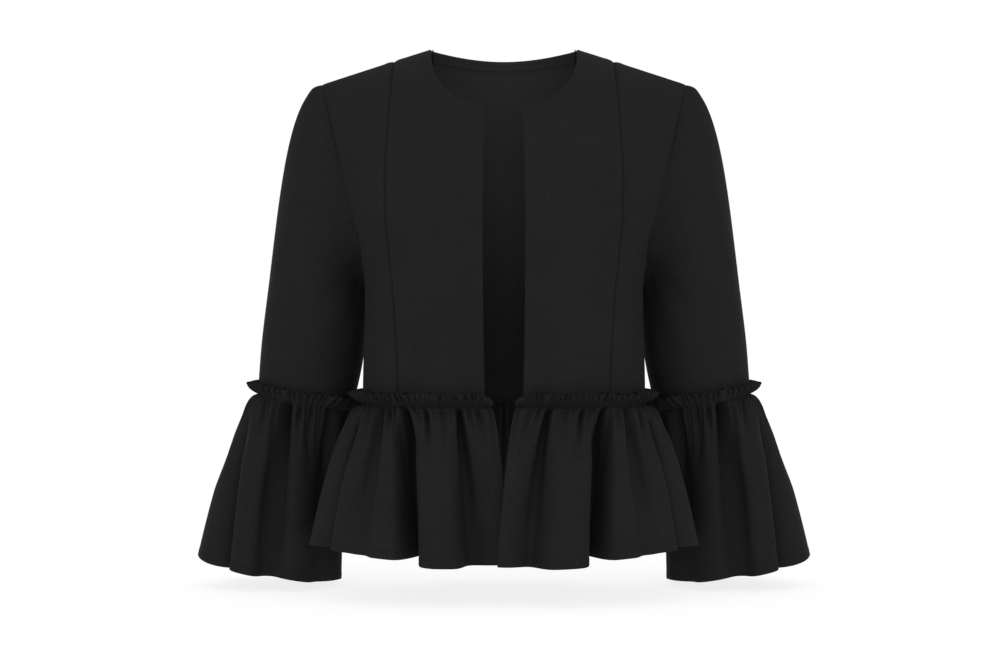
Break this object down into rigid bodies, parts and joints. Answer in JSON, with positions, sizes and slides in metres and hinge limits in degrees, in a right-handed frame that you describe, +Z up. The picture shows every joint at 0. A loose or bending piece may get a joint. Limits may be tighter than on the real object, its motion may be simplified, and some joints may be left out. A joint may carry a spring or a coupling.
{
  "type": "jacket",
  "caption": "Cropped collarless open-front jacket with princess seams, elbow sleeves ending in gathered bell cuffs, and a gathered peplum with a frilled header.",
  "frame": {"origin": "midway between the two shoulder points, where the shoulder seams meet the sleeve caps, on the line of the shoulder seams", "axes": "+X to the right as seen from the front, +Y from the open front to the back, +Z up towards the neck"},
  "size_m": [0.653, 0.2749, 0.5635],
  "materials": {
    "black_crepe": "matte, finely pebbled crepe"
  },
  "bodies": {
    "root": {"back": "black_crepe", "back_neck_facing": "black_crepe", "centre_front_left": "black_crepe", "centre_front_right": "black_crepe", "side_front_left": "black_crepe", "side_front_right": "black_crepe", "sleeve_left": "black_crepe", "sleeve_right": "black_crepe", "cuff_ruffle_left": "black_crepe", "cuff_ruffle_right": "black_crepe", "peplum_back": "black_crepe", "peplum_front_left": "black_crepe", "peplum_front_right": "black_crepe"}
  },
  "joints": []
}
